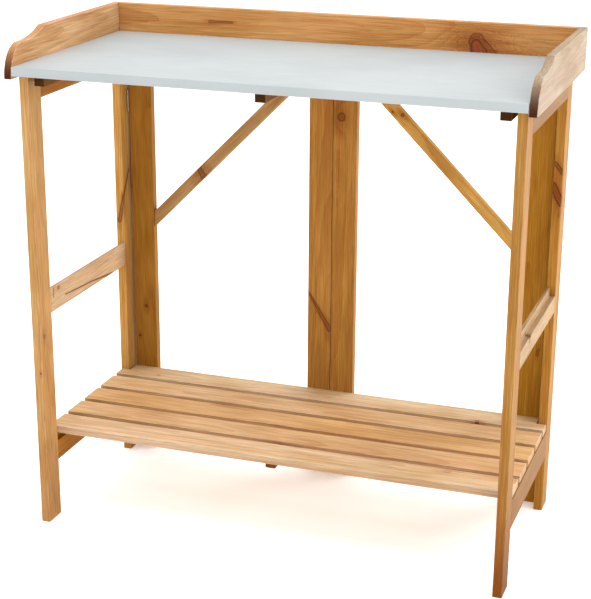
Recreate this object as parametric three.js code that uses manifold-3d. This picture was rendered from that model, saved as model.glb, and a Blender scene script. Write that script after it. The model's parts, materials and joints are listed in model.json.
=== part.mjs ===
// Folding potting bench.
//
// A worktop with three upstands lifts off a pine frame, and so does the slatted shelf.
// The frame is two side frames joined by a back in two halves: butt hinges stand in both
// rear corners and on the seam in the middle of the back, so the empty frame folds flat.
//
// Millimetres, +Z up. The origin is on the floor under the middle of the bench.
// The bench faces -Y, and +X is on the right as one stands at it.

import * as THREE from 'three';
import { mergeVertices } from 'three/addons/utils/BufferGeometryUtils.js';
import Module from 'manifold-3d';

// ---------------------------------------------------------------- driving dimensions

const FIT_GAP = 0.3; // between pieces that touch

const TOP_WIDTH = 986; // over the side upstands
const TOP_DEPTH = 480;
const WORKTOP_UNDERSIDE = 910; // height of the legs
const WORKTOP_THICKNESS = 17;
const SHEET_THICKNESS = 0.8;

const UPSTAND_THICKNESS = 15;
const UPSTAND_BOTTOM = 904; // the upstands reach below the worktop and hook over the frame
const UPSTAND_TOP = 985;
const NOSE_DEPTH = 51; // rounded front end of a side upstand
const NOSE_HEIGHT = 61;
const COVE_RUN = 88; // hollow curve from the nose up to the straight top edge
const COVE_RISE = 19;
const COVE_REAR_PULL = 0.3; // share of the run over which the curve leaves the top edge
const COVE_REAR_DROP = 0.7; // share of the rise lost in that stretch
const COVE_NOSE_PULL = 0.35; // share of the run over which the curve lies level at the nose

const BATTEN_WIDTH = 20;
const TOP_BATTEN_HEIGHT = 19;
const TOP_BATTEN_SETBACK = 21; // behind the worktop's front edge
const TOP_BATTEN_REAR = 200;
const TOP_BATTEN_CENTRES = { left: -432.5, middle: 0, right: 436.5 };

const FRAME_HALF_WIDTH = 474; // to the outer faces of the side frames
const FRAME_FRONT = -219;
const FRAME_REAR = 223;
const STOCK_THICKNESS = 18;
const STOCK_WIDTH = 50;
const MID_RAIL_BOTTOM = 433;
const MID_RAIL_LIP = 7; // thickness left along the inner face, inside the rebate
const MID_REBATE_DEPTH = 16;
const LOW_RAIL_BOTTOM = 119;
const LOW_RAIL_TOP = 177;
const LOW_RAIL_BEARING = 10; // thickness left along the outer face, which carries the slats
const LOW_REBATE_DEPTH = 17;

const CORNER_GAP = 5.4; // between a rear leg and the outer post, where the hinge leaves lie
const SEAM_GAP = 1.2; // between the two centre posts
const BACK_LOW_RAIL_BOTTOM = 127;
const BRACE_WIDTH = 24;
const BRACE_THICKNESS = 15;
const BRACE_FOOT = 515; // lowest point of a brace, on the outer post

const SLAT_THICKNESS = 15;
const SLAT_WIDTH = 63;
const SLAT_GAP = 14.5;
const SLAT_COUNT = 5;
const SLAT_HALF_LENGTH = 472;
const LEG_NOTCH_CLEARANCE = 4; // sideways room around a rear leg in the last slat
const SHELF_BATTEN_HEIGHT = 18;
const SHELF_BATTEN_REAR = 190;
const SHELF_BATTENS = {
  left: { centre: -442, front: -120 },
  middle: { centre: -7, front: -147 },
  right: { centre: 442, front: -120 },
};

const HINGE_HEIGHT = 45;
const LEAF_WIDTH = 17;
const LEAF_THICKNESS = 1.5;
const LEAF_OFFSET = 0.9; // from the pin's axis to the inner face of a closed leaf
const KNUCKLE_RADIUS = 2.2;
const KNUCKLE_BORE = 1.3;
const KNUCKLE_COUNT = 5;
const KNUCKLE_GAP = 0.4;
const PIN_RADIUS = 1.1;
const PIN_HEAD_RADIUS = 2;
const PIN_HEAD_LENGTH = 1;
const HINGE_SCREW_RADIUS = 1.8;
const HINGE_SCREW_SPACING = 26;
const HINGE_SCREW_REACH = 11; // from the pin's axis to the screw holes
const HINGE_INSET = 125.5; // hinge centres from the top and from the foot of the posts

// ---------------------------------------------------------------- derived places

const TOP_FRONT = -TOP_DEPTH / 2;
const TOP_REAR = TOP_DEPTH / 2;
const WORKTOP_TOP = WORKTOP_UNDERSIDE + WORKTOP_THICKNESS;
const WORKTOP_REAR = TOP_REAR - UPSTAND_THICKNESS - FIT_GAP;
const WORKTOP_HALF_WIDTH = TOP_WIDTH / 2 - UPSTAND_THICKNESS - FIT_GAP;
const LEG_INNER = FRAME_HALF_WIDTH - STOCK_THICKNESS;
const REAR_LEG_FRONT = FRAME_REAR - STOCK_WIDTH;
const POST_OUTER = LEG_INNER - CORNER_GAP;
const POST_INNER = POST_OUTER - STOCK_WIDTH;
const BACK_FRONT = FRAME_REAR - STOCK_THICKNESS;
const TOP_RAIL_BOTTOM = WORKTOP_UNDERSIDE - STOCK_WIDTH;
const SLAT_BOTTOM = LOW_RAIL_TOP + FIT_GAP;
const SHELF_REAR = BACK_FRONT - FIT_GAP;

// ---------------------------------------------------------------- materials

const pine = () => new THREE.MeshStandardMaterial({ color: 0xcf9a5c, roughness: 0.6, metalness: 0 });
const coatedSheet = () => new THREE.MeshStandardMaterial({ color: 0xdfe4e6, roughness: 0.45, metalness: 0.2 });
const zincSteel = () => new THREE.MeshStandardMaterial({ color: 0xb5b3ac, roughness: 0.35, metalness: 0.9 });

// ---------------------------------------------------------------- shaping helpers

function named(name, geometry, material) {
  const mesh = new THREE.Mesh(geometry, material);
  mesh.name = name;
  return mesh;
}

// A straight board that fills the given spans.
function board(name, [x0, x1], [y0, y1], [z0, z1]) {
  const mesh = named(name, new THREE.BoxGeometry(x1 - x0, y1 - y0, z1 - z0), pine());
  mesh.position.set((x0 + x1) / 2, (y0 + y1) / 2, (z0 + z1) / 2);
  return mesh;
}

// The span between two distances from the middle, on the left (-1) or the right (+1).
function sideSpan(side, near, far) {
  return side < 0 ? [-far, -near] : [near, far];
}

// The span of the given width around a centre.
function spanAround(centre, width) {
  return [centre - width / 2, centre + width / 2];
}

function extruded(shape, depth) {
  return new THREE.ExtrudeGeometry(shape, { depth, bevelEnabled: false, curveSegments: 24 });
}

// A closed outline in the Y-Z plane, extruded towards +X over the given span.
function alongX(name, shape, [x0, x1], material) {
  const mesh = named(name, extruded(shape, x1 - x0), material);
  const toYZ = new THREE.Matrix4().makeBasis(
    new THREE.Vector3(0, 1, 0),
    new THREE.Vector3(0, 0, 1),
    new THREE.Vector3(1, 0, 0),
  );
  mesh.quaternion.setFromRotationMatrix(toYZ);
  mesh.position.x = x0;
  return mesh;
}

// A closed outline in the X-Z plane, extruded over the given span of Y.
function alongY(name, shape, [y0, y1]) {
  const mesh = named(name, extruded(shape, y1 - y0), pine());
  mesh.rotation.x = Math.PI / 2;
  mesh.position.y = y1;
  return mesh;
}

function polygon(points) {
  return new THREE.Shape(points.map(([x, y]) => new THREE.Vector2(x, y)));
}

// An outline whose first coordinates are distances from the middle, on the left or the right.
function sidePolygon(side, points) {
  return polygon(points.map(([x, y]) => [side * x, y]));
}

// ---------------------------------------------------------------- solids for joins and cuts

const wasm = await Module();
wasm.setup();

function toSolid(geometry) {
  const bare = geometry.clone();
  bare.deleteAttribute('normal');
  bare.deleteAttribute('uv');
  const welded = mergeVertices(bare, 1e-4);
  return new wasm.Manifold(new wasm.Mesh({
    numProp: 3,
    vertProperties: welded.attributes.position.array,
    triVerts: new Uint32Array(welded.index.array),
  }));
}

function toGeometry(solid) {
  const { vertProperties, triVerts } = solid.getMesh();
  const geometry = new THREE.BufferGeometry();
  geometry.setAttribute('position', new THREE.BufferAttribute(vertProperties, 3));
  geometry.setIndex(new THREE.BufferAttribute(triVerts, 1));
  geometry.computeVertexNormals();
  return geometry;
}

function boxSolid([x0, x1], [y0, y1], [z0, z1]) {
  const geometry = new THREE.BoxGeometry(x1 - x0, y1 - y0, z1 - z0);
  geometry.translate((x0 + x1) / 2, (y0 + y1) / 2, (z0 + z1) / 2);
  return toSolid(geometry);
}

// A cylinder around the Z axis.
function cylinderSolid(radius, [z0, z1]) {
  const geometry = new THREE.CylinderGeometry(radius, radius, z1 - z0, 16);
  geometry.rotateX(Math.PI / 2);
  geometry.translate(0, 0, (z0 + z1) / 2);
  return toSolid(geometry);
}

// A cylinder along the X axis, through a leaf.
function screwHoleSolid(y, z) {
  const geometry = new THREE.CylinderGeometry(HINGE_SCREW_RADIUS, HINGE_SCREW_RADIUS, LEAF_WIDTH, 12);
  geometry.rotateZ(Math.PI / 2);
  geometry.translate(0, y, z);
  return toSolid(geometry);
}

// ---------------------------------------------------------------- worktop

// Side view of a side upstand: straight top edge, hollow curve, rounded nose, upright front.
function upstandOutline() {
  const noseRear = TOP_FRONT + NOSE_DEPTH;
  const noseTop = UPSTAND_TOP - COVE_RISE;
  const coveRear = noseRear + COVE_RUN;
  const outline = new THREE.Shape();
  outline.moveTo(TOP_REAR, UPSTAND_BOTTOM);
  outline.lineTo(TOP_REAR, UPSTAND_TOP);
  outline.lineTo(coveRear, UPSTAND_TOP);
  outline.bezierCurveTo(
    coveRear - COVE_RUN * COVE_REAR_PULL, UPSTAND_TOP - COVE_RISE * COVE_REAR_DROP,
    noseRear + COVE_RUN * COVE_NOSE_PULL, noseTop,
    noseRear, noseTop,
  );
  outline.absellipse(noseRear, noseTop - NOSE_HEIGHT, NOSE_DEPTH, NOSE_HEIGHT, Math.PI / 2, Math.PI);
  outline.lineTo(TOP_FRONT, UPSTAND_BOTTOM);
  return outline;
}

function sideUpstand(side, word) {
  const span = sideSpan(side, TOP_WIDTH / 2 - UPSTAND_THICKNESS, TOP_WIDTH / 2);
  return alongX(`top_upstand_${word}`, upstandOutline(), span, pine());
}

// A thin sheet over the board's top and down its front edge.
function topSheet() {
  const inside = TOP_FRONT + SHEET_THICKNESS;
  const skirtBottom = WORKTOP_UNDERSIDE + FIT_GAP;
  const profile = polygon([
    [TOP_FRONT, skirtBottom],
    [inside, skirtBottom],
    [inside, WORKTOP_TOP - SHEET_THICKNESS],
    [WORKTOP_REAR, WORKTOP_TOP - SHEET_THICKNESS],
    [WORKTOP_REAR, WORKTOP_TOP],
    [TOP_FRONT, WORKTOP_TOP],
  ]);
  return alongX('top_sheet', profile, [-WORKTOP_HALF_WIDTH, WORKTOP_HALF_WIDTH], coatedSheet());
}

function topBatten([word, centre]) {
  return board(
    `top_batten_${word}`,
    spanAround(centre, BATTEN_WIDTH),
    [TOP_FRONT + TOP_BATTEN_SETBACK, TOP_BATTEN_REAR],
    [WORKTOP_UNDERSIDE - TOP_BATTEN_HEIGHT, WORKTOP_UNDERSIDE],
  );
}

function worktop() {
  const group = new THREE.Group();
  group.add(
    board(
      'top_board',
      [-WORKTOP_HALF_WIDTH, WORKTOP_HALF_WIDTH],
      [TOP_FRONT + SHEET_THICKNESS + FIT_GAP, WORKTOP_REAR],
      [WORKTOP_UNDERSIDE + FIT_GAP, WORKTOP_TOP - SHEET_THICKNESS - FIT_GAP],
    ),
    topSheet(),
    board(
      'top_upstand_back',
      [-WORKTOP_HALF_WIDTH, WORKTOP_HALF_WIDTH],
      [TOP_REAR - UPSTAND_THICKNESS, TOP_REAR],
      [UPSTAND_BOTTOM, UPSTAND_TOP],
    ),
    sideUpstand(-1, 'left'),
    sideUpstand(1, 'right'),
    ...Object.entries(TOP_BATTEN_CENTRES).map(topBatten),
  );
  return group;
}

// ---------------------------------------------------------------- shelf

// The last slat reaches back between the rear legs, with a notch around each.
function notchedSlat(name, front, rear) {
  const notchFront = REAR_LEG_FRONT - FIT_GAP;
  const notchInner = LEG_INNER - LEG_NOTCH_CLEARANCE;
  const outline = polygon([
    [-SLAT_HALF_LENGTH, front],
    [SLAT_HALF_LENGTH, front],
    [SLAT_HALF_LENGTH, notchFront],
    [notchInner, notchFront],
    [notchInner, rear],
    [-notchInner, rear],
    [-notchInner, notchFront],
    [-SLAT_HALF_LENGTH, notchFront],
  ]);
  const mesh = named(name, extruded(outline, SLAT_THICKNESS), pine());
  mesh.position.z = SLAT_BOTTOM;
  return mesh;
}

// The slats are counted from the front.
function slat(number) {
  const name = `shelf_slat_${number}`;
  const rear = SHELF_REAR - (SLAT_COUNT - number) * (SLAT_WIDTH + SLAT_GAP);
  if (number === SLAT_COUNT) {
    return notchedSlat(name, rear - SLAT_WIDTH, rear);
  }
  return board(
    name,
    [-SLAT_HALF_LENGTH, SLAT_HALF_LENGTH],
    [rear - SLAT_WIDTH, rear],
    [SLAT_BOTTOM, SLAT_BOTTOM + SLAT_THICKNESS],
  );
}

function shelfBatten([word, { centre, front }]) {
  const top = SLAT_BOTTOM - FIT_GAP;
  return board(
    `shelf_batten_${word}`,
    spanAround(centre, BATTEN_WIDTH),
    [front, SHELF_BATTEN_REAR],
    [top - SHELF_BATTEN_HEIGHT, top],
  );
}

function shelf() {
  const group = new THREE.Group();
  for (let number = 1; number <= SLAT_COUNT; number += 1) {
    group.add(slat(number));
  }
  group.add(...Object.entries(SHELF_BATTENS).map(shelfBatten));
  return group;
}

// ---------------------------------------------------------------- side frames

// Section of a middle rail, with a rebate along its outer top edge.
function midRailSection(side) {
  const top = MID_RAIL_BOTTOM + STOCK_WIDTH;
  const lip = LEG_INNER + MID_RAIL_LIP;
  return sidePolygon(side, [
    [LEG_INNER, MID_RAIL_BOTTOM],
    [FRAME_HALF_WIDTH, MID_RAIL_BOTTOM],
    [FRAME_HALF_WIDTH, top - MID_REBATE_DEPTH],
    [lip, top - MID_REBATE_DEPTH],
    [lip, top],
    [LEG_INNER, top],
  ]);
}

// Section of a low rail, with a rebate along its inner top edge.
function lowRailSection(side) {
  const rebateFloor = LOW_RAIL_TOP - LOW_REBATE_DEPTH;
  const bearing = FRAME_HALF_WIDTH - LOW_RAIL_BEARING;
  return sidePolygon(side, [
    [LEG_INNER, LOW_RAIL_BOTTOM],
    [FRAME_HALF_WIDTH, LOW_RAIL_BOTTOM],
    [FRAME_HALF_WIDTH, LOW_RAIL_TOP],
    [bearing, LOW_RAIL_TOP],
    [bearing, rebateFloor],
    [LEG_INNER, rebateFloor],
  ]);
}

function sideFrame(side, word) {
  const across = sideSpan(side, LEG_INNER, FRAME_HALF_WIDTH);
  const between = [FRAME_FRONT + STOCK_WIDTH + FIT_GAP, REAR_LEG_FRONT - FIT_GAP];
  const group = new THREE.Group();
  group.add(
    board(
      `${word}_frame_front_leg`,
      across,
      [FRAME_FRONT, FRAME_FRONT + STOCK_WIDTH],
      [0, WORKTOP_UNDERSIDE],
    ),
    board(`${word}_frame_rear_leg`, across, [REAR_LEG_FRONT, FRAME_REAR], [0, WORKTOP_UNDERSIDE]),
    board(`${word}_frame_top_rail`, across, between, [TOP_RAIL_BOTTOM, WORKTOP_UNDERSIDE]),
    alongY(`${word}_frame_mid_rail`, midRailSection(side), between),
    alongY(`${word}_frame_low_rail`, lowRailSection(side), between),
  );
  return group;
}

// ---------------------------------------------------------------- back halves

// A brace at 45 degrees, from the outer post up to the underside of the top rail.
function brace(side, word) {
  const footX = POST_INNER - FIT_GAP;
  const topZ = TOP_RAIL_BOTTOM - FIT_GAP;
  const cutLength = BRACE_WIDTH * Math.SQRT2;
  const lowerRun = topZ - BRACE_FOOT;
  const upperRun = lowerRun - cutLength;
  const outline = sidePolygon(side, [
    [footX, BRACE_FOOT],
    [footX, BRACE_FOOT + cutLength],
    [footX - upperRun, topZ],
    [footX - lowerRun, topZ],
  ]);
  return alongY(`back_${word}_brace`, outline, [FRAME_REAR - BRACE_THICKNESS, FRAME_REAR]);
}

function backHalf(side, word) {
  const depth = [BACK_FRONT, FRAME_REAR];
  const centreInner = SEAM_GAP / 2;
  const centreOuter = centreInner + STOCK_WIDTH;
  const full = [0, WORKTOP_UNDERSIDE];
  const railSpan = sideSpan(side, centreOuter + FIT_GAP, POST_INNER - FIT_GAP);
  const group = new THREE.Group();
  group.add(
    board(`back_${word}_outer_post`, sideSpan(side, POST_INNER, POST_OUTER), depth, full),
    board(`back_${word}_centre_post`, sideSpan(side, centreInner, centreOuter), depth, full),
    board(`back_${word}_top_rail`, railSpan, depth, [TOP_RAIL_BOTTOM, WORKTOP_UNDERSIDE]),
    board(
      `back_${word}_low_rail`,
      railSpan,
      depth,
      [BACK_LOW_RAIL_BOTTOM, BACK_LOW_RAIL_BOTTOM + STOCK_WIDTH],
    ),
    brace(side, word),
  );
  return group;
}

// ---------------------------------------------------------------- hinges

// The height span of one knuckle, counted from the bottom of the hinge.
function knuckleSpan(index) {
  const pitch = HINGE_HEIGHT / KNUCKLE_COUNT;
  const bottom = -HINGE_HEIGHT / 2 + index * pitch;
  return [bottom + KNUCKLE_GAP / 2, bottom + pitch - KNUCKLE_GAP / 2];
}

// One leaf with its knuckles, around a pin on the Z axis. The leaf reaches towards +Y and
// lies on the +X side (flip 1) or the -X side (flip -1) of the axis.
function hingeLeaf(flip, firstKnuckle) {
  const plateX = sideSpan(flip, LEAF_OFFSET, LEAF_OFFSET + LEAF_THICKNESS);
  let leaf = boxSolid(plateX, [0, LEAF_WIDTH], [-HINGE_HEIGHT / 2, HINGE_HEIGHT / 2]);
  for (let index = 0; index < KNUCKLE_COUNT; index += 1) {
    const [bottom, top] = knuckleSpan(index);
    if (index % 2 === firstKnuckle) {
      leaf = leaf.add(cylinderSolid(KNUCKLE_RADIUS, [bottom, top]));
    } else {
      const clearance = [bottom - KNUCKLE_GAP, top + KNUCKLE_GAP];
      leaf = leaf.subtract(cylinderSolid(KNUCKLE_RADIUS + KNUCKLE_GAP, clearance));
    }
  }
  leaf = leaf.subtract(cylinderSolid(KNUCKLE_BORE, [-HINGE_HEIGHT, HINGE_HEIGHT]));
  for (const z of spanAround(0, HINGE_SCREW_SPACING)) {
    leaf = leaf.subtract(screwHoleSolid(HINGE_SCREW_REACH, z));
  }
  return toGeometry(leaf);
}

function hingePin() {
  const half = HINGE_HEIGHT / 2 + FIT_GAP;
  const profile = [
    [0, -half - PIN_HEAD_LENGTH],
    [PIN_HEAD_RADIUS, -half - PIN_HEAD_LENGTH],
    [PIN_HEAD_RADIUS, -half],
    [PIN_RADIUS, -half],
    [PIN_RADIUS, half],
    [PIN_HEAD_RADIUS, half],
    [PIN_HEAD_RADIUS, half + PIN_HEAD_LENGTH],
    [0, half + PIN_HEAD_LENGTH],
  ];
  const geometry = new THREE.LatheGeometry(profile.map(([r, z]) => new THREE.Vector2(r, z)), 16);
  geometry.rotateX(Math.PI / 2);
  return geometry;
}

// A butt hinge, folded shut at an opening of 0 and flat at an opening of PI.
function hinge(name, [x, y, z], opening) {
  const group = new THREE.Group();
  const rightLeaf = named(`${name}_right_leaf`, hingeLeaf(1, 0), zincSteel());
  const leftLeaf = named(`${name}_left_leaf`, hingeLeaf(-1, 1), zincSteel());
  rightLeaf.rotation.z = -opening / 2;
  leftLeaf.rotation.z = opening / 2;
  group.add(rightLeaf, leftLeaf, named(`${name}_pin`, hingePin(), zincSteel()));
  group.position.set(x, y, z);
  return group;
}

function hinges() {
  const group = new THREE.Group();
  const cornerX = LEG_INNER - CORNER_GAP / 2;
  const cornerY = BACK_FRONT - KNUCKLE_RADIUS / 2;
  const seamY = FRAME_REAR + LEAF_OFFSET + LEAF_THICKNESS + FIT_GAP;
  const heights = { upper: WORKTOP_UNDERSIDE - HINGE_INSET, lower: HINGE_INSET };
  for (const [word, z] of Object.entries(heights)) {
    group.add(
      hinge(`hinge_left_${word}`, [-cornerX, cornerY, z], 0),
      hinge(`hinge_right_${word}`, [cornerX, cornerY, z], 0),
      hinge(`hinge_seam_${word}`, [0, seamY, z], Math.PI),
    );
  }
  return group;
}

// ---------------------------------------------------------------- the bench

const bench = new THREE.Group();
bench.add(
  worktop(),
  shelf(),
  sideFrame(-1, 'left'),
  sideFrame(1, 'right'),
  backHalf(-1, 'left'),
  backHalf(1, 'right'),
  hinges(),
);

export default bench;
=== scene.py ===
"""Looks of the folding potting bench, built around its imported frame. Metres, +Z up."""

import json
import math
import random

import bmesh
import bpy
from mathutils import Matrix, Vector


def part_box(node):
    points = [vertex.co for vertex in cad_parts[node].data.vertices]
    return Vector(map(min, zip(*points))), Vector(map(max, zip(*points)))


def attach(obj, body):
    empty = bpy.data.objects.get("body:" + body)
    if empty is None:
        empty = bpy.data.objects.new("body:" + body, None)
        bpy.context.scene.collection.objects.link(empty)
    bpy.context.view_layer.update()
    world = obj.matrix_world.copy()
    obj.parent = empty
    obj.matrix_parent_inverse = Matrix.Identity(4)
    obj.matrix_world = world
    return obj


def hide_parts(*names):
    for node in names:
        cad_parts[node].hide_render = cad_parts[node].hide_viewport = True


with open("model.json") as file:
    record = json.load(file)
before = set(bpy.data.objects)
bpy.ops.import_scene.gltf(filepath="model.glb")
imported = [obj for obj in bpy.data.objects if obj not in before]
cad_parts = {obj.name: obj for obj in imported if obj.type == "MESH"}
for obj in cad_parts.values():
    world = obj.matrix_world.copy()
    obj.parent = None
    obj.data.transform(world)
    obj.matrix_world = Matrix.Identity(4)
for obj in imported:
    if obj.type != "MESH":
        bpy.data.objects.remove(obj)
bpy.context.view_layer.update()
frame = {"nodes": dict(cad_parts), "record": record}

MM = 0.001

# ---------------------------------------------------------------- sizes

ARRIS = 1.1 * MM  # softened edges of the timber
SMALL_ARRIS = 0.8 * MM  # of slats and battens
CORE_ARRIS = 0.4 * MM  # of the board under the sheet
ARRIS_SEGMENTS = 3
SMOOTH_ANGLE = math.radians(25)  # edges sharper than this are softened
FLAT_ANGLE = math.radians(0.4)  # faces that meet flatter than this become one
MERGE_DISTANCE = 0.001 * MM
AREA_WEIGHT = 100  # in the shading of a corner, so that large faces stay flat
END_GRAIN_POWER = 3  # higher keeps end grain to faces that are cut squarely
BRACE_WIDTH = 24 * MM

SHEET_THICKNESS = 0.8 * MM
SHEET_BEND = 1.8 * MM  # radius of the sheet's front bend
BEND_STEPS = 6
HEM_HEIGHT = 4.0 * MM
HEM_STEP = 0.5 * MM  # how far the hem stands in front of the skirt
HEM_DEPTH = 2.2 * SHEET_THICKNESS  # the sheet is folded double there

SLAT_COUNT = sum(node.startswith("shelf_slat_") for node in frame["nodes"])
SCREW_HEAD_RADIUS = 3.4 * MM
SCREW_HEAD_LIFT = 0.2 * MM  # how far a head stands off the wood
SCREW_HEAD_MARGIN = 12 * MM  # from the front end of a shelf batten
TOP_BATTEN_SCREWS = (0.1, 0.5, 0.9)  # shares of the batten's length
HINGE_SCREW_RADIUS = 2.7 * MM
HINGE_SCREW_REACH = 11 * MM  # from the pin's axis
HINGE_SCREW_SPACING = 26 * MM
HINGE_LEAF_THICKNESS = 1.5 * MM

# Shape of a screw head, in its own radii.
SCREW_SIDES = 24
SCREW_RINGS = ((0.92, 0.10), (1.0, 0.02), (0.55, -0.45))  # radius and height of each ring
CROSS_ARM = 0.62
CROSS_HALF_WIDTH = 0.13
CROSS_TOP = 0.12
CROSS_DEPTH = 0.3
CROSS_TAPER = 0.6  # size of the pit's bottom, as a share of its mouth

# ---------------------------------------------------------------- camera

CAMERA_PLACE = Vector((0.952, -2.784, 1.436))
CAMERA_TURN = math.radians(19.17)  # to the left of straight at the bench
CAMERA_TILT = math.radians(-19.45)
CAMERA_ROLL = math.radians(0.29)
CAMERA_LENS = 96.0
CAMERA_SENSOR = 36.0
CAMERA_SHIFT = (0.007, 0.051)


def add_object(name, data):
    """Puts a new object with its data in the scene."""
    thing = bpy.data.objects.new(name, data)
    bpy.context.scene.collection.objects.link(thing)
    return thing


def camera_matrix():
    forward = Vector((
        -math.sin(CAMERA_TURN) * math.cos(CAMERA_TILT),
        math.cos(CAMERA_TURN) * math.cos(CAMERA_TILT),
        math.sin(CAMERA_TILT),
    ))
    level = Vector((math.cos(CAMERA_TURN), math.sin(CAMERA_TURN), 0.0))
    upright = level.cross(forward)
    right = level * math.cos(CAMERA_ROLL) + upright * math.sin(CAMERA_ROLL)
    up = upright * math.cos(CAMERA_ROLL) - level * math.sin(CAMERA_ROLL)
    turn = Matrix((right, up, -forward)).transposed().to_4x4()
    return Matrix.Translation(CAMERA_PLACE) @ turn


def add_camera():
    """A long lens, in front of the bench, above it and a little to its right."""
    data = bpy.data.cameras.new("camera")
    data.lens = CAMERA_LENS
    data.sensor_fit = "HORIZONTAL"
    data.sensor_width = CAMERA_SENSOR
    data.shift_x, data.shift_y = CAMERA_SHIFT
    camera = add_object("camera", data)
    camera.matrix_world = camera_matrix()
    bpy.context.scene.camera = camera


# ---------------------------------------------------------------- studio

WHITE = (1.0, 1.0, 1.0)
WORLD_STRENGTH = 1.3
LIGHT_TARGET = Vector((0.0, 0.0, 0.6))
LIGHTS = {  # place, side of the lamp in metres, watts and colour
    "key": ((3.8, -0.5, 3.0), 2.4, 44.0, (0.97, 1.0, 0.88)),
    "rim": ((3.6, 4.0, 1.5), 2.6, 150.0, WHITE),
    "top": ((0.0, -0.6, 3.6), 2.6, 45.0, WHITE),
}
FLOOR_REACH = 30.0
FLOOR_GLOW = 0.3  # keeps the floor's shadows pale


def srgb(red, green, blue):
    """A display colour, 0 to 255, as the linear colour that shaders take."""
    return tuple(((c / 255 + 0.055) / 1.055) ** 2.4 for c in (red, green, blue)) + (1.0,)


def add_area_light(name, place, size, power, colour):
    data = bpy.data.lights.new(name, "AREA")
    data.size = size
    data.energy = power
    data.color = colour
    light = add_object(name, data)
    light.location = place
    light.rotation_euler = (LIGHT_TARGET - Vector(place)).to_track_quat("-Z", "Y").to_euler()


def add_studio():
    """A white room without walls: an even world, three soft lamps and a pale floor."""
    scene = bpy.context.scene
    scene.view_settings.view_transform = "Standard"
    world = bpy.data.worlds.new("studio")
    world.use_nodes = True
    background = world.node_tree.nodes["Background"]
    background.inputs["Color"].default_value = (*WHITE, 1.0)
    background.inputs["Strength"].default_value = WORLD_STRENGTH
    scene.world = world
    for name, settings in LIGHTS.items():
        add_area_light(name, *settings)
    add_floor()


def add_floor():
    signs = ((-1, -1), (1, -1), (1, 1), (-1, 1))
    corners = [(x * FLOOR_REACH, y * FLOOR_REACH, 0) for x, y in signs]
    mesh = bpy.data.meshes.new("floor")
    mesh.from_pydata(corners, [], [(0, 1, 2, 3)])
    floor = add_object("floor", mesh)
    material, graph = new_material("floor")
    graph.shader(base=srgb(252, 252, 252), roughness=0.9, glow=FLOOR_GLOW)
    mesh.materials.append(material)


# ---------------------------------------------------------------- node graphs

NOISE_MEAN = 0.5
NOISE_SPAN = (0.3, 0.7)  # holds nearly all of a noise's values
STEEP_SPAN = (0.35, 0.65)  # makes a noise into clearer patches


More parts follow.
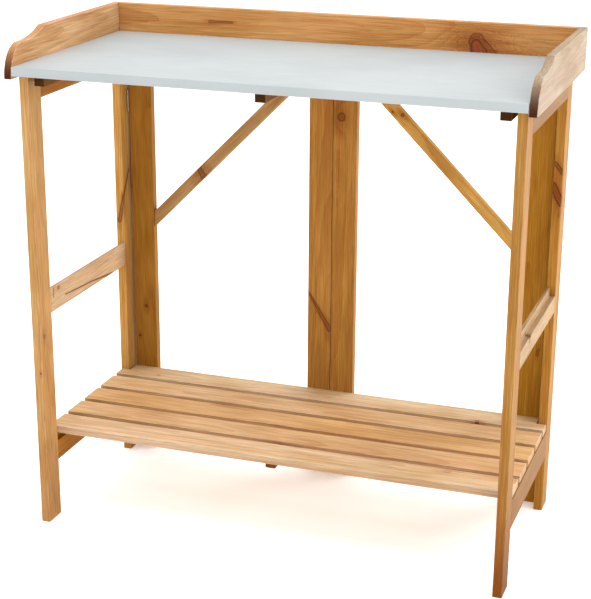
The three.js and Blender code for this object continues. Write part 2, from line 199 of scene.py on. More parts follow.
class Graph:
    """Adds nodes to a material's tree. An input is a socket, which is linked, or a plain value."""

    def __init__(self, tree):
        self.tree = tree

    def feed(self, socket, value):
        if isinstance(value, bpy.types.NodeSocket):
            self.tree.links.new(value, socket)
        else:
            socket.default_value = value

    def math(self, operation, *values, clamp=False):
        node = self.tree.nodes.new("ShaderNodeMath")
        node.operation = operation
        node.use_clamp = clamp
        for socket, value in zip(node.inputs, values):
            self.feed(socket, value)
        return node.outputs[0]

    def times(self, product, *factors):
        """Numbers multiplied."""
        for factor in factors:
            product = self.math("MULTIPLY", product, factor)
        return product

    def vector(self, operation, first, second=(0.0, 0.0, 0.0), scale=1.0):
        node = self.tree.nodes.new("ShaderNodeVectorMath")
        node.operation = operation
        self.feed(node.inputs[0], first)
        self.feed(node.inputs[1], second)
        self.feed(node.inputs[3], scale)
        gives_number = operation in ("LENGTH", "DOT_PRODUCT")
        return node.outputs[1 if gives_number else 0]

    def split(self, vector):
        node = self.tree.nodes.new("ShaderNodeSeparateXYZ")
        self.feed(node.inputs[0], vector)
        return node.outputs

    def attribute(self, name, kind="GEOMETRY"):
        node = self.tree.nodes.new("ShaderNodeAttribute")
        node.attribute_type = kind
        node.attribute_name = name
        return node.outputs

    def own_number(self, name):
        """A number that the object itself carries."""
        return self.attribute(name, "OBJECT")["Fac"]

    def own_vector(self, name):
        """Three numbers that the object itself carries."""
        return self.attribute(name, "OBJECT")["Vector"]

    def noise(self, where, stretch, detail=2.0, roughness=0.5):
        """Fractal noise, as its number and its colour; stretch is in cycles per metre."""
        node = self.tree.nodes.new("ShaderNodeTexNoise")
        self.feed(node.inputs["Vector"], self.vector("MULTIPLY", where, stretch))
        node.inputs["Scale"].default_value = 1.0
        node.inputs["Detail"].default_value = detail
        node.inputs["Roughness"].default_value = roughness
        return node.outputs["Fac"], node.outputs["Color"]

    def chance(self, value):
        """A random number from 0 to 1, the same wherever the value is the same."""
        node = self.tree.nodes.new("ShaderNodeTexWhiteNoise")
        node.noise_dimensions = "1D"
        self.feed(node.inputs["W"], value)
        return node.outputs["Value"]

    def remap(self, value, low, high, to_low=0.0, to_high=1.0):
        """The span from low to high, eased onto another span and held at its ends."""
        node = self.tree.nodes.new("ShaderNodeMapRange")
        node.interpolation_type = "SMOOTHSTEP"
        for name, number in zip(
            ("Value", "From Min", "From Max", "To Min", "To Max"),
            (value, low, high, to_low, to_high),
        ):
            self.feed(node.inputs[name], number)
        return node.outputs["Result"]

    def fade(self, value, span):
        """1 below a span, eased to 0 above it."""
        return self.remap(value, *span, 1.0, 0.0)

    def mix(self, amount, first, second, blend="MIX"):
        node = self.tree.nodes.new("ShaderNodeMix")
        node.data_type = "RGBA"
        node.blend_type = blend
        self.feed(node.inputs["Factor"], amount)
        self.feed(node.inputs[6], first)
        self.feed(node.inputs[7], second)
        return node.outputs[2]

    def tint(self, colour, other):
        """Two colours multiplied."""
        return self.mix(1.0, colour, other, "MULTIPLY")

    def shade(self, colour, noise, tones):
        """A colour darkened and lightened by a noise, between two tones of grey."""
        return self.tint(colour, self.grey(self.remap(noise, *NOISE_SPAN, *tones)))

    def grey(self, value):
        """A number as a grey colour."""
        node = self.tree.nodes.new("ShaderNodeCombineColor")
        for socket in node.inputs:
            self.feed(socket, value)
        return node.outputs[0]

    def bump(self, height, distance, strength):
        node = self.tree.nodes.new("ShaderNodeBump")
        self.feed(node.inputs["Height"], height)
        node.inputs["Distance"].default_value = distance
        node.inputs["Strength"].default_value = strength
        return node.outputs["Normal"]

    def shader(self, base, roughness, normal=None, metallic=0.0, specular=0.5, glow=0.0):
        node = self.tree.nodes.new("ShaderNodeBsdfPrincipled")
        self.feed(node.inputs["Base Color"], base)
        self.feed(node.inputs["Roughness"], roughness)
        node.inputs["Metallic"].default_value = metallic
        node.inputs["Specular IOR Level"].default_value = specular
        node.inputs["Emission Strength"].default_value = glow
        if normal is not None:
            self.feed(node.inputs["Normal"], normal)
        output = self.tree.nodes.new("ShaderNodeOutputMaterial")
        self.tree.links.new(node.outputs["BSDF"], output.inputs["Surface"])


def new_material(name):
    material = bpy.data.materials.new(name)
    material.use_nodes = True
    material.node_tree.nodes.clear()
    return material, Graph(material.node_tree)


# ---------------------------------------------------------------- pine

EARLYWOOD = srgb(232, 180, 108)
LATEWOOD = srgb(190, 120, 56)
KNOT_HEART = srgb(164, 90, 48)
KNOT_BARK = srgb(84, 44, 18)
KNOT_HALO = srgb(206, 168, 132)
# colour of end grain; also the painted shade on the slats' long sides
END_GRAIN_AND_SHADE_COLOUR = srgb(104, 66, 42)
RED_BAND = srgb(255, 245, 236)
GREEN_BAND = srgb(249, 252, 240)
CLOUD = srgb(238, 229, 212)
# pale rounded edges, partly wear and partly a painted highlight
WORN_EDGE_AND_HIGHLIGHT = srgb(246, 214, 168)
FOOT_COLOUR = srgb(190, 154, 116)  # legs are darker towards the floor
FOOT_SPAN = (-0.46, -0.12)  # from the middle of a leg

# Noises of the wood, in cycles per metre along, across and through a board.
LOG_NOISE = (1.1, 6.0, 6.0)
WARP_NOISE = (60.0, 60.0, 60.0)
BAND_NOISE = (0.9, 110.0, 110.0)
FIBRE_NOISE = (9.0, 640.0, 640.0)
FINE_FIBRE_NOISE = (24.0, 1500.0, 1500.0)
CLOUD_NOISE = (5.0, 18.0, 18.0)
RUB_NOISE = (35.0, 120.0, 120.0)
SEED_STEP = (3.1, 1.7, 2.3)  # how far apart two boards lie in the noise

RING_WIDTH = 5.2 * MM
RING_BEND = 14 * MM
RING_WARP = 0.35  # uneven width of a ring, in ring widths
RING_POWER = 2.0  # higher keeps the dark part of a ring narrower
RING_CONTRAST = 0.42
PALE_YEAR = 0.35  # latewood of the palest year, as a share of the darkest
FIBRE_TONES = (0.76, 1.16)  # darkest and lightest
FINE_FIBRE_TONES = (0.84, 1.12)
BAND_TONES = (0.95, 1.04)
EDGE_WEAR_AND_HIGHLIGHT_SPAN = (0.4, 0.62)  # of the noise that pales an edge, partly as wear and partly as a painted highlight
EDGE_WEAR_AND_HIGHLIGHT_STRENGTH = 0.3

WOOD_SPECULAR = 0.05  # matt, as the oil has soaked in
WOOD_ROUGHNESS = 0.42
FIBRE_ROUGHNESS = 0.18  # added where the fibres stand up
RING_HEIGHT = 0.5  # heights are shares of the relief
FIBRE_HEIGHT = 0.8
KNOT_HEIGHT = 1.2
WOOD_RELIEF = 0.12 * MM
WOOD_BUMP = 0.7

# Knots. Spans are distances from the knot's middle, in its own radii.
KNOT_FLOW = (0.4, 1.0, 1.0)  # how much a step along, across and through the board counts
KNOT_PUSH = 2.2  # how far the rings swing around a knot, in its radii
KNOT_WARP = 0.5  # uneven outline
HALO_SPAN = (0.9, 2.6)
HALO_STRENGTH = 0.5
CURL_SPAN = (1.0, 3.2)
CURL_STRENGTH = 0.4
CURL_WARP = 3.0
CURL_RATE = 14.0  # how close the curly grain lies
HEART_SPAN = (0.86, 1.02)
HEART_STRENGTH = 0.85
HEART_RATE = 13.0  # how close the heart's own rings lie
HEART_RING_DEPTH = 0.3
BARK_WIDTH = 2.6 * MM
BARK_OUTSIDE = 0.95  # about where the bark ends
BARK_RISE = 0.7  # share of the bark's width over which it darkens
BARK_FALL = (0.98, 1.12)
BARK_STRENGTH = 0.75
TINY = 1e-9  # keeps a knot without length from dividing by zero


def knot_fields(g, board, number):
    """How near a point is to a knot, in the knot's radii, and in a field stretched along the grain."""
    start = g.own_vector(f"knot{number}_start")
    end = g.own_vector(f"knot{number}_end")
    start_radius, end_radius, depth = g.split(g.own_vector(f"knot{number}_form"))
    line = g.vector("SUBTRACT", end, start)
    reach = g.vector("SUBTRACT", board, start)
    length_squared = g.math("ADD", g.vector("DOT_PRODUCT", line, line), TINY)
    along = g.math("DIVIDE", g.vector("DOT_PRODUCT", reach, line), length_squared, clamp=True)
    offset = g.vector("SUBTRACT", reach, g.vector("SCALE", line, scale=along))
    growth = g.math("SUBTRACT", end_radius, start_radius)
    radius = g.math("MULTIPLY_ADD", growth, along, start_radius)
    near = g.math("DIVIDE", g.vector("LENGTH", offset), radius)
    eased = g.vector("MULTIPLY", offset, KNOT_FLOW)
    flow = g.math("DIVIDE", g.vector("LENGTH", eased), radius)
    return near, flow, radius, depth


def pith_distance(g, board, place):
    """Distance from the pith of the log, bent slowly along the board."""
    bend = g.noise(place, LOG_NOISE)[1]
    sway = g.vector("SUBTRACT", bend, (NOISE_MEAN, NOISE_MEAN, NOISE_MEAN))
    shift = g.vector("SCALE", sway, scale=RING_BEND)
    log = g.own_vector("log")
    parts = g.split(g.vector("SUBTRACT", g.vector("ADD", board, shift), log))
    lift = g.math("MULTIPLY_ADD", parts[0], g.own_number("slope"), parts[2])
    square = g.math("MULTIPLY_ADD", parts[1], parts[1], g.times(lift, lift))
    return g.math("SQRT", square)


def late_wood(g, radius, knots, warp, seed):
    """How dark the growth rings are, 0 to 1. They swing around knots, and years differ."""
    for _, flow, size, depth in knots:
        swell = g.math("DIVIDE", 1.0, g.math("MULTIPLY_ADD", flow, flow, 1.0))
        radius = g.math("ADD", radius, g.times(swell, size, depth, KNOT_PUSH))
    rings = g.math("ADD", g.math("DIVIDE", radius, RING_WIDTH), g.times(warp, RING_WARP))
    late = g.math("POWER", g.math("FRACT", rings), RING_POWER)
    year = g.chance(g.math("ADD", g.math("FLOOR", rings), seed))
    return g.times(late, g.remap(year, 0.0, 1.0, PALE_YEAR, 1.0))


def clear_wood(g, place, late, fibre):
    """Colour of the wood between knots: rings, faint bands, fibres and clouds."""
    band = g.noise(place, BAND_NOISE, detail=1.0)[0]
    fine_fibre = g.noise(place, FINE_FIBRE_NOISE)[0]
    colour = g.mix(g.times(late, RING_CONTRAST), EARLYWOOD, LATEWOOD)
    colour = g.tint(colour, g.mix(g.remap(band, *STEEP_SPAN), RED_BAND, GREEN_BAND))
    colour = g.shade(colour, fibre, FIBRE_TONES)
    colour = g.shade(colour, fine_fibre, FINE_FIBRE_TONES)
    colour = g.shade(colour, band, BAND_TONES)
    cloud = g.remap(g.noise(place, CLOUD_NOISE)[0], *STEEP_SPAN)
    return g.mix(cloud, g.tint(colour, CLOUD), colour)


def add_knot(g, colour, height, fields, warp):
    """A knot: a brown heart with its own rings, a dark bark around it and curly grain outside."""
    near, flow, size, depth = fields
    rough_near = g.math("MULTIPLY_ADD", warp, KNOT_WARP, near)

    halo = g.times(g.fade(flow, HALO_SPAN), depth, HALO_STRENGTH)
    colour = g.mix(halo, colour, g.tint(colour, KNOT_HALO))

    curl = g.math("MULTIPLY_ADD", warp, CURL_WARP, flow)
    waves = g.remap(g.math("SINE", g.times(curl, CURL_RATE)), 0.0, 1.0)
    curly = g.times(waves, g.fade(flow, CURL_SPAN), depth, CURL_STRENGTH)
    colour = g.mix(curly, colour, g.tint(colour, KNOT_HALO))

    ripple = g.math("SINE", g.times(rough_near, HEART_RATE))
    heart = g.mix(g.remap(ripple, -1.0, 1.0, 0.0, HEART_RING_DEPTH), KNOT_HEART, KNOT_BARK)
    inside = g.times(g.fade(rough_near, HEART_SPAN), depth)
    colour = g.mix(g.times(inside, HEART_STRENGTH), colour, heart)

    rim = g.math("DIVIDE", BARK_WIDTH, size)
    bark_start = g.math("SUBTRACT", BARK_OUTSIDE, rim)
    bark_full = g.math("MULTIPLY_ADD", rim, BARK_RISE, bark_start)
    rise = g.remap(rough_near, bark_start, bark_full)
    bark = g.times(rise, g.fade(rough_near, BARK_FALL), depth, BARK_STRENGTH)
    colour = g.mix(bark, colour, KNOT_BARK)
    return colour, g.math("MULTIPLY_ADD", inside, KNOT_HEIGHT, height)


def stain_wear_and_painted_light(g, colour, board, place):
    """Tints a board with its stain and painted light, darkens its foot and its end grain (on slats
    also their long sides, as painted shade), and pales its edges, partly as wear and partly as a
    painted highlight.
    """
    stain_and_light = g.own_vector("stain_and_light")
    # the stain colour also carries painted shade and a painted sheen, piece by piece
    colour = g.tint(colour, stain_and_light)
    foot = g.times(g.fade(g.split(board)[0], FOOT_SPAN), g.own_number("foot_tone"))
    colour = g.mix(foot, colour, g.tint(colour, FOOT_COLOUR))
    # end grain darkens; on slats the long sides do too, as painted shade
    end_grain_and_shade = g.times(g.attribute("end_grain_and_side_shade")["Fac"], g.own_number("end_grain_and_shade_tone"))
    colour = g.mix(end_grain_and_shade, colour, g.tint(colour, END_GRAIN_AND_SHADE_COLOUR))
    # rounded edges paled, partly as wear and partly as a painted highlight
    rub = g.noise(place, RUB_NOISE, detail=3.0)[0]
    wear_and_highlight = g.times(g.attribute("arris")["Fac"], g.remap(rub, *EDGE_WEAR_AND_HIGHLIGHT_SPAN, 0.0, EDGE_WEAR_AND_HIGHLIGHT_STRENGTH))
    return g.mix(wear_and_highlight, colour, g.tint(WORN_EDGE_AND_HIGHLIGHT, stain_and_light))


def pine(knot_count):
    """Pine with so many knots: growth rings around the log's pith, fibres, stain and wear, with
    painted shade, a painted sheen and painted edge highlights.
    """
    name = f"pine_{knot_count}_knots"
    if name in bpy.data.materials:
        return bpy.data.materials[name]
    material, g = new_material(name)
    board = g.attribute("board")["Vector"]
    seed = g.own_number("seed")
    place = g.vector("ADD", board, g.vector("SCALE", SEED_STEP, scale=seed))
    radius = pith_distance(g, board, place)
    warp = g.math("SUBTRACT", g.noise(place, WARP_NOISE)[0], NOISE_MEAN)
    knots = [knot_fields(g, board, number) for number in range(knot_count)]
    late = late_wood(g, radius, knots, warp, seed)
    fibre = g.noise(place, FIBRE_NOISE, detail=3.0, roughness=0.6)[0]

    colour = clear_wood(g, place, late, fibre)
    height = g.math("MULTIPLY_ADD", late, RING_HEIGHT, g.times(fibre, FIBRE_HEIGHT))
    for fields in knots:
        colour, height = add_knot(g, colour, height, fields, warp)
    colour = stain_wear_and_painted_light(g, colour, board, place)
    roughness = g.math("MULTIPLY_ADD", fibre, FIBRE_ROUGHNESS, WOOD_ROUGHNESS)
    normal = g.bump(height, WOOD_RELIEF, WOOD_BUMP)
    g.shader(colour, roughness, normal, specular=WOOD_SPECULAR)
    return material


# ---------------------------------------------------------------- other materials

SHEET_TONES = (srgb(156, 162, 163), srgb(165, 170, 171))
SHEET_CLOUD_NOISE = (4.0, 6.0, 6.0)
SHEET_SPECK_NOISE = (900.0, 900.0, 900.0)
SHEET_RUB_NOISE = (18.0, 150.0, 150.0)
SPECK_TONES = (0.985, 1.01)
SHEET_ROUGHNESS = (0.46, 0.6)
SHEET_SPECK_HEIGHT = 0.5  # heights are shares of the relief
SHEET_CLOUD_HEIGHT = 4.0
SHEET_RELIEF = 0.05 * MM
SHEET_BUMP = 0.5
SHEET_SPECULAR = 0.3

CHIP_TONES = (srgb(176, 142, 100), srgb(214, 184, 140))
CHIPS_PER_METRE = (260.0, 420.0, 420.0)
DUST_NOISE = (90.0, 90.0, 90.0)
DUST_TONES = (0.86, 1.06)
CHIP_ROUGHNESS = 0.85
CHIP_RELIEF = 0.3 * MM
CHIP_BUMP = 0.6

ZINC_TONES = (srgb(136, 120, 104), srgb(158, 141, 122))
BRUSHING_NOISE = (300.0, 300.0, 4000.0)
PATCH_NOISE = (140.0, 140.0, 140.0)
ZINC_ROUGHNESS = (0.2, 0.34)
BRUSHING_ROUGHNESS = 0.18
BRUSHING_RELIEF = 0.02 * MM
BRUSHING_BUMP = 0.4


def coated_sheet():
    """Thin steel with a pale satin coat, faintly clouded and rubbed."""
    material, g = new_material("coated_sheet")
    place = g.attribute("board")["Vector"]
    cloud = g.noise(place, SHEET_CLOUD_NOISE, detail=3.0)[0]
    speck = g.noise(place, SHEET_SPECK_NOISE, detail=1.0)[0]
    rub = g.noise(place, SHEET_RUB_NOISE, detail=3.0, roughness=0.65)[0]
    colour = g.shade(g.mix(g.remap(cloud, *NOISE_SPAN), *SHEET_TONES), speck, SPECK_TONES)
    roughness = g.remap(rub, *NOISE_SPAN, *SHEET_ROUGHNESS)
    height = g.math("MULTIPLY_ADD", speck, SHEET_SPECK_HEIGHT, g.times(cloud, SHEET_CLOUD_HEIGHT))
    normal = g.bump(height, SHEET_RELIEF, SHEET_BUMP)
    g.shader(colour, roughness, normal, specular=SHEET_SPECULAR)
    return material


def chipboard():
    """Raw board of pressed chips."""
    material, g = new_material("chipboard")
    place = g.attribute("board")["Vector"]
    chips = g.tree.nodes.new("ShaderNodeTexVoronoi")
    g.feed(chips.inputs["Vector"], g.vector("MULTIPLY", place, CHIPS_PER_METRE))
    chips.inputs["Scale"].default_value = 1.0
    dust = g.noise(place, DUST_NOISE, detail=4.0)[0]
    colour = g.mix(g.split(chips.outputs["Color"])[0], *CHIP_TONES)
    colour = g.shade(colour, dust, DUST_TONES)
    height = g.math("ADD", chips.outputs["Distance"], dust)
    g.shader(colour, CHIP_ROUGHNESS, g.bump(height, CHIP_RELIEF, CHIP_BUMP))
    return material


def zinc_steel():
    """Yellowed zinc plating with fine brushing and dull patches."""
    material, g = new_material("zinc_steel")
    place = g.tree.nodes.new("ShaderNodeTexCoord").outputs["Object"]
    brushing = g.noise(place, BRUSHING_NOISE)[0]
    patch = g.noise(place, PATCH_NOISE, detail=3.0)[0]
    colour = g.mix(g.remap(patch, *STEEP_SPAN), *ZINC_TONES)
    dullness = g.remap(patch, *NOISE_SPAN, *ZINC_ROUGHNESS)
    roughness = g.math("MULTIPLY_ADD", brushing, BRUSHING_ROUGHNESS, dullness)
    normal = g.bump(brushing, BRUSHING_RELIEF, BRUSHING_BUMP)
    g.shader(colour, roughness, normal, metallic=1.0)
    return material


# ---------------------------------------------------------------- timber pieces

BODY_OF = {
    node: body for body, nodes in frame["record"]["behaviour"]["bodies"].items() for node in nodes
}


def board_axes(node):
    """The middle of a board and its directions along the grain, across it and through it."""
    low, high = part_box(node)
    middle = (low + high) / 2
    if node.endswith("brace"):  # its lower edge is the diagonal of its box
        side = 1.0 if middle.x < 0 else -1.0
        along = Vector((side, 0.0, 1.0)).normalized()
        across = Vector((-side, 0.0, 1.0)).normalized()
        return middle + across * BRACE_WIDTH / 2, along, across, Vector((0.0, 1.0, 0.0))
    order = sorted(range(3), key=lambda axis: low[axis] - high[axis])
    along, across, through = (Vector([float(i == axis) for i in range(3)]) for axis in order)
    return middle, along, across, through


def board_size(node):
    """Length, width and thickness."""
    low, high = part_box(node)
    extent = high - low
    if node.endswith("brace"):
        return extent.length, BRACE_WIDTH, extent.y
    return tuple(sorted(extent, reverse=True))


def soft_edged(node, width):
    """A copy of a CAD node's mesh with merged faces and rounded edges, and its bevelled faces."""
    mesh = bmesh.new()
    mesh.from_mesh(frame["nodes"][node].data)
    bmesh.ops.remove_doubles(mesh, verts=mesh.verts, dist=MERGE_DISTANCE)
    bmesh.ops.dissolve_limit(mesh, angle_limit=FLAT_ANGLE, verts=mesh.verts, edges=mesh.edges)
    sharp = [e for e in mesh.edges if e.is_manifold and e.calc_face_angle() > SMOOTH_ANGLE]
    made = bmesh.ops.bevel(
        mesh,
        geom=sharp,
        offset=width,
        offset_type="OFFSET",
        segments=ARRIS_SEGMENTS,
        profile=0.5,
        affect="EDGES",
        clamp_overlap=True,
    )
    return mesh, set(made["faces"])


def write_board_data(mesh, rounded, axes, shade_long_sides=False):
    """Each point's place in the board, and where the mesh shows end grain or a rounded edge; on some
    pieces also the long sides, for painted shade.
    """
    middle, along, across, through = axes
    place = mesh.verts.layers.float_vector.new("board")
    end_grain_and_side_shade = mesh.loops.layers.float.new("end_grain_and_side_shade")
    arris = mesh.loops.layers.float.new("arris")
    for vertex in mesh.verts:
        offset = vertex.co - middle
        vertex[place] = (offset.dot(along), offset.dot(across), offset.dot(through))
    for face in mesh.faces:
        cut = abs(face.normal.dot(along))
        # the long sides get painted shade, as dark as end grain
        if shade_long_sides:
            cut = max(cut, abs(face.normal.dot(across)))
        for loop in face.loops:
            loop[end_grain_and_side_shade] = cut ** END_GRAIN_POWER
            loop[arris] = 1.0 if face in rounded else 0.0
        face.smooth = True


def finish_piece(name, mesh, material, body, replaced=None):
    """Turns a bmesh into a piece that rides on a body, and hides the CAD node it stands for."""
    data = bpy.data.meshes.new(name)
    mesh.to_mesh(data)
    mesh.free()
    data.materials.append(material)
    piece = add_object(name, data)
    weighted = piece.modifiers.new("flat_faces", "WEIGHTED_NORMAL")
    weighted.weight = AREA_WEIGHT
    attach(piece, body)
    if replaced:
        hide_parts(replaced)
    return piece


class Knot:
    """A knot, as a tapered rod in a board; on the left rear leg such rods also lay painted shade. Its
    ends are shares of the board's length, width and thickness, counted from the low corner. Radii are
    in mm, and depth is how dark it is, to 1."""

    def __init__(self, start, end, radius, end_radius=None, depth=1.0):
        self.ends = {"start": start, "end": end}
        self.radius = radius * MM
        self.end_radius = self.radius if end_radius is None else end_radius * MM
        self.depth = depth

    def lay(self, piece, number, size):
        """Stores the knot on the piece, in the board's own directions."""
        for word, shares in self.ends.items():
            place = [(share - 0.5) * extent for share, extent in zip(shares, size)]
            piece[f"knot{number}_{word}"] = place
        piece[f"knot{number}_form"] = [self.radius, self.end_radius, self.depth]


def round_knot(length, width, radius, depth=1.0):
    """A knot that runs through the board and out on both sides."""
    return Knot((length, width, -0.5), (length, width, 1.5), radius, depth=depth)


def spike(start, end, radius, end_radius=None, depth=1.0, level=0.0):
    """A knot cut lengthwise. Its level runs from the board's low face, 0, to its high face, 1."""
    return Knot((*start, level), (*end, level), radius, end_radius, depth)


SHARP_PIECES = ("shelf", "top_batten")  # starts of the names of pieces that are rounded less
SEED_RANGE = 40.0
PITH_SIDE = 30 * MM  # furthest that a log's pith lies to either side of a board's middle
PITH_DEPTH = (35 * MM, 75 * MM)  # how far it lies from the middle through the board
PITH_SLOPE = 0.05  # steepest that it runs against the board

# Besides the wood's own stain, these colours carry painted light: painted shade under the worktop on
# the back posts (partly) and the top battens, and a painted sheen that pales the right upstand and,
# partly, the front left leg towards grey.
STAINS_AND_PAINTED_LIGHT = {  # multiplied over bare pine, by the first words of a node's name, special ones first
    "back_left_brace": (0.49, 0.52, 0.68),
    "back_right_brace": (0.65, 0.65, 0.53),
    # darkened partly by painted shade under the worktop
    "back_left_outer": (0.39, 0.31, 0.13),
    "back_right_outer": (0.49, 0.42, 0.14),
    "back": (0.50, 0.43, 0.31),
    # paled partly as a painted sheen
    "left_frame_front": (0.62, 0.65, 0.84),
    "left_frame_rear": (0.68, 0.69, 0.59),
    "left_frame_mid": (0.67, 0.82, 1.58),
    "left_frame": (0.48, 0.34, 0.080),
    "right_frame_front": (0.47, 0.42, 0.35),
    "right_frame_rear": (0.49, 0.42, 0.24),
    "right_frame_mid": (0.51, 0.62, 1.10),
    "right_frame": (0.32, 0.28, 0.27),
    "shelf_slat_1": (0.87, 1.10, 2.30),
    "shelf_slat_3": (0.81, 0.89, 1.36),
    "shelf_slat_5": (0.86, 1.15, 2.39),
    "shelf_slat": (0.85, 1.00, 1.84),
    "shelf_batten": (0.30, 0.20, 0.10),
    "top_upstand_back": (0.72, 0.65, 0.77),
    "top_upstand_left": (0.70, 0.74, 1.26),
    # paled towards grey as a painted sheen on the right upstand's outer face
    "top_upstand": (0.45, 0.62, 1.46),
    # painted shade: the top battens sit in the worktop's shadow
    "top_batten": (0.18, 0.13, 0.022),
}

END_GRAIN_AND_SHADE_TONES = {  # how dark end grain is, and on slats the painted shade of their long sides; 1 elsewhere
    "shelf_slat": 0.3,
    "shelf_batten": 0.4,
    "top_batten": 0.75,
}
FOOT_TONES = {  # how dark a foot is; 0 elsewhere
    "left_frame_front": 0.25,
    "left_frame_rear": 0.5,
    "right_frame_front": 1.0,
}
SIDE_SHADED_PIECES = "shelf_slat"  # pieces whose long sides get painted shade, as dark as their ends

# Knots of each node; on the left rear leg some rods lay painted shade instead.
KNOTS_AND_PAINTED_SHADE = {
    "top_upstand_back": [
        spike((0.796, 0.55), (0.812, 0.18), 16.0, 25.0, depth=0.7),
        spike((0.795, 0.48), (0.808, 0.08), 10.0, 18.0, depth=1.0),
        spike((0.213, 0.65), (0.266, 0.66), 3.0, 2.0, depth=0.6),
    ],
    "back_right_centre_post": [round_knot(0.862, 0.33, 9.0, depth=0.8)],
    "back_left_centre_post": [spike((0.449, 0.01), (0.363, 0.96), 1.5, 6.0, depth=0.7)],
    "back_left_outer_post": [
        round_knot(0.366, 0.53, 4.0, depth=0.8),
        round_knot(0.289, 0.20, 2.5, depth=0.8),
    ],
    "back_right_outer_post": [spike((0.373, 0.82), (0.360, 0.77), 3.0, depth=0.5)],
    "back_left_brace": [spike((0.340, 0.1), (0.352, 1.0), 8.0, 5.0, depth=0.9)],
    "back_right_brace": [
        round_knot(0.782, 0.73, 3.5, depth=0.9),
        round_knot(0.818, 0.27, 2.5, depth=0.8),
    ],
    "left_frame_front_leg": [
        round_knot(0.434, 0.3, 4.0, depth=0.6),
        spike((0.354, 0.0), (0.354, 0.1), 2.0, depth=0.7, level=0.8),
    ],
    "left_frame_rear_leg": [
        # a knot, darkened further as painted shade in the corner behind the back post
        Knot((0.700, 0.6, 1.0), (0.640, 0.0, 1.0), 2.5, 3.0, depth=0.9),
        Knot((0.640, 0.0, 1.0), (0.584, 0.0, 0.45), 3.0, 4.5, depth=0.9),
        # painted shade along the leg's rear inner edge, in the gap beside the back left outer post
        spike((0.97, 1.0), (0.66, 0.93), 2.5, 8.0, depth=0.9, level=1.0),
        spike((0.66, 0.98), (0.05, 1.0), 4.0, 2.5, depth=0.9, level=1.0),
    ],
    "right_frame_rear_leg": [
        Knot((0.806, 0.0, 0.1), (0.785, 0.0, 1.0), 4.0, depth=0.8),
        Knot((0.758, 0.0, 0.0), (0.720, 0.0, 1.0), 7.0, depth=1.0),
    ],
    "left_frame_mid_rail": [
        spike((0.177, 0.40), (0.525, 0.24), 1.2, depth=0.8, level=1.0),
        spike((0.525, 0.24), (0.80, 0.03), 1.2, 1.8, depth=0.8, level=1.0),
        round_knot(0.095, 0.85, 4.0, depth=0.7),
        spike((0.034, 0.95), (0.029, 0.59), 0.9, depth=0.8, level=1.0),
    ],
    "right_frame_mid_rail": [
        Knot((0.289, 0.68, 0.17), (0.265, 0.68, 1.0), 3.0, depth=0.9),
        spike((0.25, 0.68), (0.252, 0.48), 1.6, depth=0.9, level=1.0),
    ],
    "shelf_slat_1": [round_knot(0.859, 0.8, 6.0, depth=0.3)],
    "shelf_slat_5": [
        round_knot(0.856, 0.03, 4.0),
        round_knot(0.098, 0.31, 4.0, depth=0.35),
    ],
}


def by_name(table, node, otherwise=None):
    """The first entry whose key starts the node's name."""
    return next((value for start, value in table.items() if node.startswith(start)), otherwise)


def add_board(node, number):
    """One board: the CAD node's own shape with rounded edges, cut from its own place in a log."""
    draw = random.Random(number)
    mesh, rounded = soft_edged(node, SMALL_ARRIS if node.startswith(SHARP_PIECES) else ARRIS)
    write_board_data(mesh, rounded, board_axes(node), node.startswith(SIDE_SHADED_PIECES))
    knots = KNOTS_AND_PAINTED_SHADE.get(node, [])
    piece = finish_piece(f"{node}_timber", mesh, pine(len(knots)), BODY_OF[node], node)
    piece["seed"] = draw.uniform(0.0, SEED_RANGE)
    piece["log"] = [0.0, draw.uniform(-PITH_SIDE, PITH_SIDE), draw.uniform(*PITH_DEPTH)]
    piece["slope"] = draw.uniform(-PITH_SLOPE, PITH_SLOPE)
    piece["stain_and_light"] = list(by_name(STAINS_AND_PAINTED_LIGHT, node))
    piece["end_grain_and_shade_tone"] = by_name(END_GRAIN_AND_SHADE_TONES, node, 1.0)
    piece["foot_tone"] = by_name(FOOT_TONES, node, 0.0)
    for index, knot in enumerate(knots):
        knot.lay(piece, index, board_size(node))


def add_timber():
    nodes = [s["node"] for s in frame["record"]["subparts"] if s["material_slot"] == "pine"]
    for number, node in enumerate(nodes):
        add_board(node, number)


# ---------------------------------------------------------------- worktop


def bend_arc(y, z):
    """The quarter circle that leads from the top, bending at y, down into the skirt."""
    arc = []
    for step in range(BEND_STEPS + 1):
        turn = math.radians(90 * step / BEND_STEPS)
        arc.append((y + SHEET_BEND * (1 - math.sin(turn)), z - SHEET_BEND * (1 - math.cos(turn))))
    return arc


def sheet_profile():
    """Cross-section of the folded sheet, as (y, z) points: top, front bend, skirt and hem."""
    low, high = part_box("top_sheet")
    front, rear = low.y, high.y
    skirt = front + HEM_STEP
    hem_top = low.z + HEM_HEIGHT
    hem_back = front + HEM_DEPTH
    outer = [
        (rear, high.z),
        *bend_arc(skirt, high.z),
        (skirt, hem_top + HEM_STEP),
        (front, hem_top - HEM_STEP),
        (front, low.z + HEM_STEP),
        (front + HEM_STEP, low.z),
    ]
    inner = [
        (hem_back, low.z),
        (hem_back, hem_top),
        (skirt + SHEET_THICKNESS, hem_top + HEM_STEP),
        (skirt + SHEET_THICKNESS, high.z - SHEET_BEND),
        (skirt + SHEET_BEND, high.z - SHEET_THICKNESS),
        (rear, high.z - SHEET_THICKNESS),
    ]
    return outer + inner


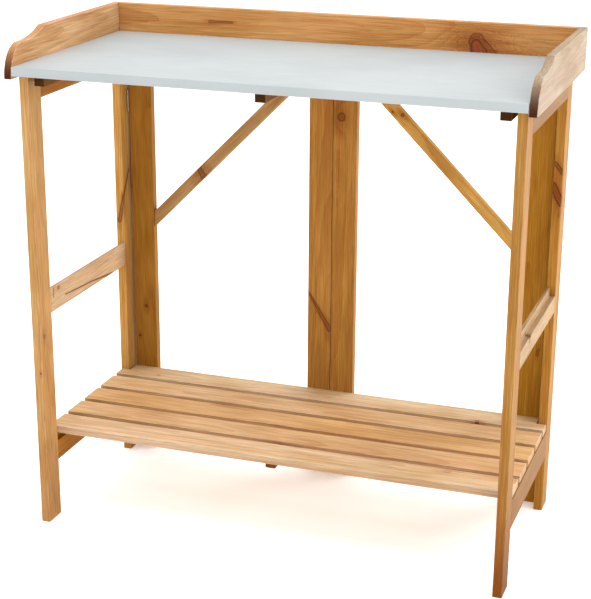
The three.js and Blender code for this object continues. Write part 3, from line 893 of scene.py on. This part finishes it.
def add_sheet(material):
    """The sheet's cross-section, drawn out from the left side of the worktop to the right."""
    low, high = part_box("top_sheet")
    mesh = bmesh.new()
    place = mesh.verts.layers.float_vector.new("board")
    profile = sheet_profile()
    left, right = ([mesh.verts.new((x, y, z)) for y, z in profile] for x in (low.x, high.x))
    mesh.faces.new(list(reversed(left)))
    mesh.faces.new(right)
    for index in range(len(profile)):
        after = (index + 1) % len(profile)
        mesh.faces.new((left[index], left[after], right[after], right[index]))
    bmesh.ops.recalc_face_normals(mesh, faces=mesh.faces)
    for vertex in mesh.verts:
        vertex[place] = vertex.co
    for face in mesh.faces:
        face.smooth = True
    finish_piece("worktop_sheet", mesh, material, "tabletop", "top_sheet")


def add_worktop_core(material):
    mesh, rounded = soft_edged("top_board", CORE_ARRIS)
    write_board_data(mesh, rounded, board_axes("top_board"))
    finish_piece("worktop_core", mesh, material, "tabletop", "top_board")


# ---------------------------------------------------------------- hinges and screws


def dress_hinges(material):
    """Gives the CAD's own hinge leaves and pins the look of plated steel."""
    for subpart in frame["record"]["subparts"]:
        if subpart["material_slot"] == "zinc_steel":
            node = frame["nodes"][subpart["node"]]
            node.data.materials.clear()
            node.data.materials.append(material)


def screw_ring(mesh, radius, height):
    """Points on a circle around the screw's axis."""
    ring = []
    for side in range(SCREW_SIDES):
        turn = 2 * math.pi * side / SCREW_SIDES
        ring.append(mesh.verts.new((radius * math.cos(turn), radius * math.sin(turn), height)))
    return ring


def neighbours(ring):
    """Each point of a closed ring with the one after it."""
    return list(zip(ring, ring[1:] + ring[:1]))


def add_wall(mesh, upper, lower):
    """Faces between two rings with the same number of points."""
    for (first, second), (below, after) in zip(neighbours(upper), neighbours(lower)):
        mesh.faces.new((first, below, after, second))


def screw_mesh(radius):
    """A countersunk screw head, facing +Z at the origin, with a pressed cross recess."""
    mesh = bmesh.new()
    rings = [screw_ring(mesh, radius * share, radius * height) for share, height in SCREW_RINGS]
    for upper, lower in zip(rings, rings[1:]):
        add_wall(mesh, upper, lower)
    mesh.faces.new(list(reversed(rings[-1])))
    add_cross_recess(mesh, rings[0], radius)
    bmesh.ops.recalc_face_normals(mesh, faces=mesh.faces)
    return mesh


def cross_outline(arm, half):
    """A cross with four arms, as (x, y) points; half is half the width of an arm."""
    outline = []
    for cosine, sine in ((1, 0), (0, 1), (-1, 0), (0, -1)):
        for x, y in ((arm, -half), (arm, half), (half, half)):
            outline.append((x * cosine - y * sine, x * sine + y * cosine))
    return outline


def add_cross_recess(mesh, rim, radius):
    """Fills the top of a screw head around a cross-shaped pit that narrows downwards."""
    cross = cross_outline(CROSS_ARM * radius, CROSS_HALF_WIDTH * radius)
    top = [mesh.verts.new((x, y, CROSS_TOP * radius)) for x, y in cross]
    pit = [
        mesh.verts.new((x * CROSS_TAPER, y * CROSS_TAPER, -CROSS_DEPTH * radius)) for x, y in cross
    ]
    for (first, second), (below, after) in zip(neighbours(top), neighbours(pit)):
        mesh.faces.new((first, second, after, below))
    mesh.faces.new(pit)
    edges = [mesh.edges.get(pair) for pair in neighbours(top) + neighbours(rim)]
    bmesh.ops.bridge_loops(mesh, edges=edges)


def add_screw(name, place, direction, radius, body, material):
    """A screw whose head faces a direction."""
    mesh = screw_mesh(radius)
    turn = Vector(direction).to_track_quat("Z", "Y").to_matrix().to_4x4()
    bmesh.ops.transform(mesh, matrix=Matrix.Translation(place) @ turn, verts=mesh.verts)
    finish_piece(name, mesh, material, body)


def add_batten_screw(name, batten, y, body, material):
    """A screw in the underside of a batten, in the middle of its width."""
    low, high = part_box(batten)
    place = Vector(((low.x + high.x) / 2, y, low.z - SCREW_HEAD_LIFT))
    add_screw(name, place, (0, 0, -1), SCREW_HEAD_RADIUS, body, material)


def add_batten_screws(material):
    """One screw up through each shelf batten into every slat, and three through each top batten."""
    for word in ("left", "middle", "right"):
        batten = f"shelf_batten_{word}"
        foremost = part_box(batten)[0].y + SCREW_HEAD_MARGIN
        for number in range(1, SLAT_COUNT + 1):
            low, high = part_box(f"shelf_slat_{number}")
            y = max((low.y + high.y) / 2, foremost)
            add_batten_screw(f"shelf_screw_{word}_{number}", batten, y, "shelf", material)
        batten = f"top_batten_{word}"
        low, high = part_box(batten)
        for number, share in enumerate(TOP_BATTEN_SCREWS, start=1):
            y = low.y + share * (high.y - low.y)
            add_batten_screw(f"top_screw_{word}_{number}", batten, y, "tabletop", material)


def add_seam_hinge_screws(material):
    """Four screws in each hinge on the seam, seen from behind."""
    for height in ("upper", "lower"):
        for word, side in (("left", -1), ("right", 1)):
            low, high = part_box(f"hinge_seam_{height}_{word}_leaf")
            y = low.y + HINGE_LEAF_THICKNESS
            for number, end in enumerate((-1, 1), start=1):
                z = (low.z + high.z) / 2 + end * HINGE_SCREW_SPACING / 2
                place = Vector((side * HINGE_SCREW_REACH, y, z))
                name = f"hinge_screw_{height}_{word}_{number}"
                add_screw(name, place, (0, 1, 0), HINGE_SCREW_RADIUS, "frame", material)


# ---------------------------------------------------------------- the scene

add_camera()
add_studio()
add_timber()
add_sheet(coated_sheet())
add_worktop_core(chipboard())
zinc = zinc_steel()
dress_hinges(zinc)
add_batten_screws(zinc)
add_seam_hinge_screws(zinc)
